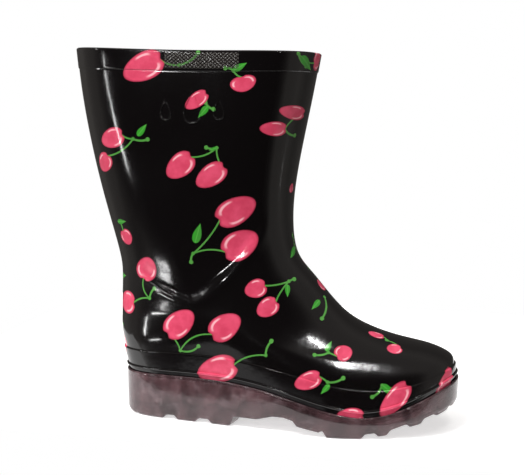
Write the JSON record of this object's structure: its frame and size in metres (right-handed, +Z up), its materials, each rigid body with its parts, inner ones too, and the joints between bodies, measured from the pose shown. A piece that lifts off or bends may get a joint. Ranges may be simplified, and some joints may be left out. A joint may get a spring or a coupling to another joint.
{
  "type": "rain boot",
  "caption": "Mid-calf waterproof boot, right foot, with a printed moulded upper, a raised collar and foot band, a knitted lining, an insole and a thick translucent treaded sole.",
  "frame": {"origin": "on the ground, under the middle of the boot's box", "axes": "+X towards the toe, +Y towards the inner side of the foot, +Z up"},
  "size_m": [0.2846, 0.0949, 0.2663],
  "materials": {
    "printed_pvc": "high gloss black moulded PVC with an all-over red fruit print",
    "clear_sole": "smoky purple-brown translucent moulded rubber",
    "insole_board": "pressed fibre board",
    "insole_foam": "soft closed-cell foam",
    "insole_fabric": "brushed knit",
    "knit_lining": "fine dark jersey knit"
  },
  "bodies": {
    "root": {"upper_shell": "printed_pvc", "collar_band": "printed_pvc", "collar_grip_panel": "printed_pvc", "foxing_band": "printed_pvc", "welt_bead": "printed_pvc", "outsole": "clear_sole", "midsole_board": "insole_board", "insole_foam": "insole_foam", "insole_cover": "insole_fabric", "leg_and_foot_lining": "knit_lining", "badge_drop_rear": "printed_pvc", "badge_drop_middle": "printed_pvc", "badge_drop_front": "printed_pvc"}
  },
  "joints": []
}
